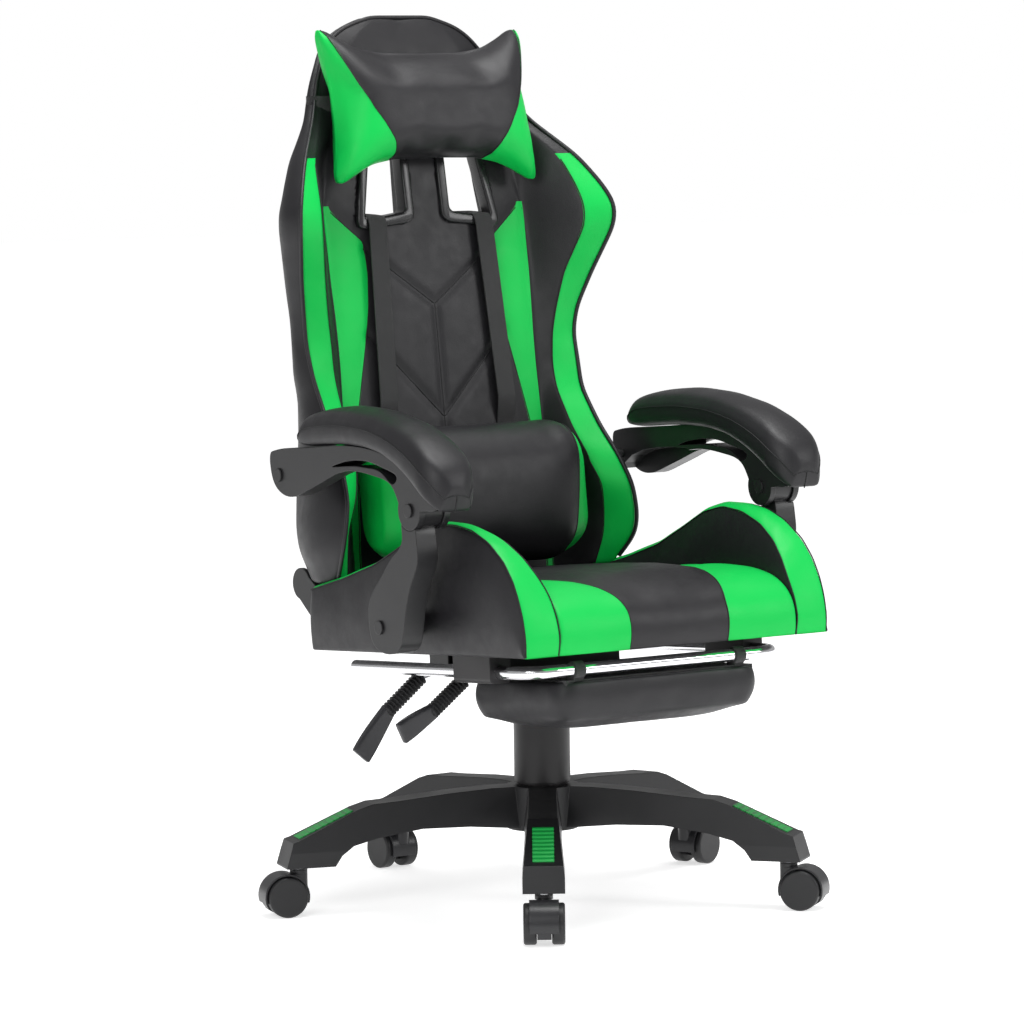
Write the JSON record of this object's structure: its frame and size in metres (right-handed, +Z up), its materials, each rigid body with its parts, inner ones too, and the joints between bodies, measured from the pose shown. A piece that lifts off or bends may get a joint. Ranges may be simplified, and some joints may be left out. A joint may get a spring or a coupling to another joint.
{
  "type": "gaming chair",
  "caption": "Reclining gaming chair on a five-armed caster base with gas lift, linked padded armrests, winged back, pillows and a slide-out footrest.",
  "frame": {"origin": "on the floor, on the axis of the gas column", "axes": "+Z up, -Y the way the sitter faces, +X the sitter's left"},
  "size_m": [0.7099, 0.6809, 1.114],
  "materials": {
    "base_nylon": "satin moulded nylon with fine texture",
    "insert_plastic": "satin green moulded plastic, ribbed",
    "caster_plastic": "semi-gloss moulded nylon",
    "wheel_plastic": "satin",
    "steel_zinc": "zinc plated",
    "steel_black": "black powder coat",
    "chrome": "polished",
    "cover_plastic": "satin",
    "bush_plastic": "plain",
    "plywood": "raw plywood",
    "leather_black": "smooth black synthetic leather, fine grain",
    "leather_green": "smooth green synthetic leather, fine grain",
    "belt_webbing": "woven belt",
    "arm_plastic": "satin moulded plastic with fine texture",
    "sleeve_rubber": "corrugated black rubber",
    "lever_plastic": "satin grey-black moulded plastic"
  },
  "bodies": {
    "base": {"base_star": "base_nylon", "arm_inserts": "insert_plastic", "gas_outer_tube": "steel_black", "gas_guide_bush": "bush_plastic", "thrust_bearing": "steel_zinc", "column_cover_lower": "cover_plastic"},
    "caster_1": {"caster_hood_1": "caster_plastic", "caster_pins_1": "steel_zinc"},
    "wheels_1": {"caster_wheels_1": "wheel_plastic"},
    "caster_2": {"caster_hood_2": "caster_plastic", "caster_pins_2": "steel_zinc"},
    "wheels_2": {"caster_wheels_2": "wheel_plastic"},
    "caster_3": {"caster_hood_3": "caster_plastic", "caster_pins_3": "steel_zinc"},
    "wheels_3": {"caster_wheels_3": "wheel_plastic"},
    "caster_4": {"caster_hood_4": "caster_plastic", "caster_pins_4": "steel_zinc"},
    "wheels_4": {"caster_wheels_4": "wheel_plastic"},
    "caster_5": {"caster_hood_5": "caster_plastic", "caster_pins_5": "steel_zinc"},
    "wheels_5": {"caster_wheels_5": "wheel_plastic"},
    "rod": {"gas_piston_rod": "steel_zinc"},
    "cover_middle": {"column_cover_middle": "cover_plastic"},
    "seat": {"gas_cylinder": "steel_zinc", "column_cover_upper": "cover_plastic", "mechanism_tray": "steel_black", "seat_board": "plywood", "seat_bolts": "steel_black", "seat_side_plates": "steel_black", "seat_cushion": "leather_black", "seat_bolster_left": "leather_green", "seat_bolster_right": "leather_green", "footrest_guides": "cover_plastic"},
    "height_lever": {"height_lever": "lever_plastic", "height_lever_sleeve": "sleeve_rubber"},
    "valve_pin": {"gas_valve_pin": "steel_zinc"},
    "recline_lever": {"recline_lever": "lever_plastic", "recline_lever_sleeve": "sleeve_rubber"},
    "footrest": {"footrest_rail": "chrome"},
    "foot_pad": {"footrest_board": "plywood", "footrest_cushion": "leather_black"},
    "back": {"back_frame": "steel_black", "back_arm_bolts": "steel_black", "back_cushion": "leather_black", "back_head_cushion": "leather_black", "back_wing_left": "leather_green", "back_wing_right": "leather_green", "harness_rims": "arm_plastic", "harness_straps": "belt_webbing", "head_pillow_strap": "belt_webbing"},
    "upright_left": {"arm_upright_left": "arm_plastic"},
    "armrest_left": {"armrest_shell_left": "arm_plastic", "armrest_pad_left": "leather_black", "armrest_pivot_left": "steel_black"},
    "upright_right": {"arm_upright_right": "arm_plastic"},
    "armrest_right": {"armrest_shell_right": "arm_plastic", "armrest_pad_right": "leather_black", "armrest_pivot_right": "steel_black"},
    "lumbar_pillow": {"lumbar_pillow": "leather_black"},
    "head_pillow": {"head_pillow": "leather_black"}
  },
  "joints": [
    {"name": "caster_swivel_1", "type": "hinge", "parent": "base", "child": "caster_1", "pos_m": [-0.18125, -0.26372, 0.06], "axis": [0, 0, 1], "continuous": true},
    {"name": "wheel_roll_1", "type": "hinge", "parent": "caster_1", "child": "wheels_1", "pos_m": [-0.19201, -0.27938, 0.025], "axis": [0.8241, -0.5664, 0], "continuous": true},
    {"name": "caster_swivel_2", "type": "hinge", "parent": "base", "child": "caster_2", "pos_m": [0.1948, -0.25387, 0.06], "axis": [0, 0, 1], "continuous": true},
    {"name": "wheel_roll_2", "type": "hinge", "parent": "caster_2", "child": "wheels_2", "pos_m": [0.20637, -0.26895, 0.025], "axis": [0.7934, 0.6088, 0], "continuous": true},
    {"name": "caster_swivel_3", "type": "hinge", "parent": "base", "child": "caster_3", "pos_m": [0.30164, 0.10682, 0.06], "axis": [0, 0, 1], "continuous": true},
    {"name": "wheel_roll_3", "type": "hinge", "parent": "caster_3", "child": "wheels_3", "pos_m": [0.31955, 0.11316, 0.025], "axis": [-0.3338, 0.9426, 0], "continuous": true},
    {"name": "caster_swivel_4", "type": "hinge", "parent": "base", "child": "caster_4", "pos_m": [-0.00838, 0.31989, 0.06], "axis": [0, 0, 1], "continuous": true},
    {"name": "wheel_roll_4", "type": "hinge", "parent": "caster_4", "child": "wheels_4", "pos_m": [-0.00887, 0.33888, 0.025], "axis": [-0.9997, -0.0262, 0], "continuous": true},
    {"name": "caster_swivel_5", "type": "hinge", "parent": "base", "child": "caster_5", "pos_m": [-0.30682, 0.09088, 0.06], "axis": [0, 0, 1], "continuous": true},
    {"name": "wheel_roll_5", "type": "hinge", "parent": "caster_5", "child": "wheels_5", "pos_m": [-0.32504, 0.09628, 0.025], "axis": [-0.284, -0.9588, 0], "continuous": true},
    {"name": "seat_swivel", "type": "hinge", "parent": "base", "child": "rod", "pos_m": [0, 0, 0.1], "axis": [0, 0, 1], "continuous": true},
    {"name": "cover_slide", "type": "slide", "parent": "rod", "child": "cover_middle", "axis": [0, 0, 1], "range_m": [0, 0.0375]},
    {"name": "seat_lift", "type": "slide", "parent": "rod", "child": "seat", "axis": [0, 0, 1], "range_m": [0, 0.075]},
    {"name": "height_lever_pull", "type": "hinge", "parent": "seat", "child": "height_lever", "pos_m": [-0.035, -0.02, 0.306], "axis": [0, 1, 0], "range_deg": [0, 9], "stiffness_Nm_per_rad": 4, "springref_deg": -8.59},
    {"name": "valve_pin_press", "type": "slide", "parent": "seat", "child": "valve_pin", "axis": [0, 0, -1], "range_m": [0, 0.006]},
    {"name": "recline_lever_pull", "type": "hinge", "parent": "seat", "child": "recline_lever", "pos_m": [-0.035, 0.069, 0.306], "axis": [0, 1, 0], "range_deg": [0, 12], "stiffness_Nm_per_rad": 4, "springref_deg": -8.59},
    {"name": "footrest_slide", "type": "slide", "parent": "seat", "child": "footrest", "axis": [0, -0.9981, 0.0616], "range_m": [0, 0.23]},
    {"name": "foot_pad_flip", "type": "hinge", "parent": "footrest", "child": "foot_pad", "pos_m": [0, -0.25085, 0.32163], "axis": [-1, 0, 0], "range_deg": [0, 180]},
    {"name": "recline", "type": "hinge", "parent": "seat", "child": "back", "pos_m": [0, 0.225, 0.397], "axis": [-1, 0, 0], "range_deg": [0, 45]},
    {"name": "upright_tilt_left", "type": "hinge", "parent": "seat", "child": "upright_left", "pos_m": [0.27, -0.072, 0.37], "axis": [-1, 0, 0], "range_deg": [0, 45]},
    {"name": "armrest_tilt_left", "type": "hinge", "parent": "upright_left", "child": "armrest_left", "pos_m": [0.263, -0.141, 0.516], "axis": [-1, 0, 0], "range_deg": [-45, 0]},
    {"name": "upright_tilt_right", "type": "hinge", "parent": "seat", "child": "upright_right", "pos_m": [-0.27, -0.072, 0.37], "axis": [-1, 0, 0], "range_deg": [0, 45]},
    {"name": "armrest_tilt_right", "type": "hinge", "parent": "upright_right", "child": "armrest_right", "pos_m": [-0.263, -0.141, 0.516], "axis": [-1, 0, 0], "range_deg": [-45, 0]},
    {"name": "lumbar_pillow_slide", "type": "slide", "parent": "back", "child": "lumbar_pillow", "axis": [0, 0.1221, 0.9925], "range_m": [0, 0.12]},
    {"name": "head_pillow_slide", "type": "slide", "parent": "back", "child": "head_pillow", "axis": [0, 0.2046, 0.9788], "range_m": [-0.04, 0]}
  ],
  "couplings": [
    {"joint": "cover_slide", "follows": "seat_lift", "ratio": 0.5},
    {"joint": "valve_pin_press", "follows": "height_lever_pull", "m_per_rad": 0.037561},
    {"joint": "foot_pad_flip", "follows": "footrest_slide", "rad_per_m": 13.65},
    {"joint": "upright_tilt_left", "follows": "recline", "ratio": 1},
    {"joint": "armrest_tilt_left", "follows": "recline", "ratio": -1},
    {"joint": "upright_tilt_right", "follows": "recline", "ratio": 1},
    {"joint": "armrest_tilt_right", "follows": "recline", "ratio": -1}
  ]
}
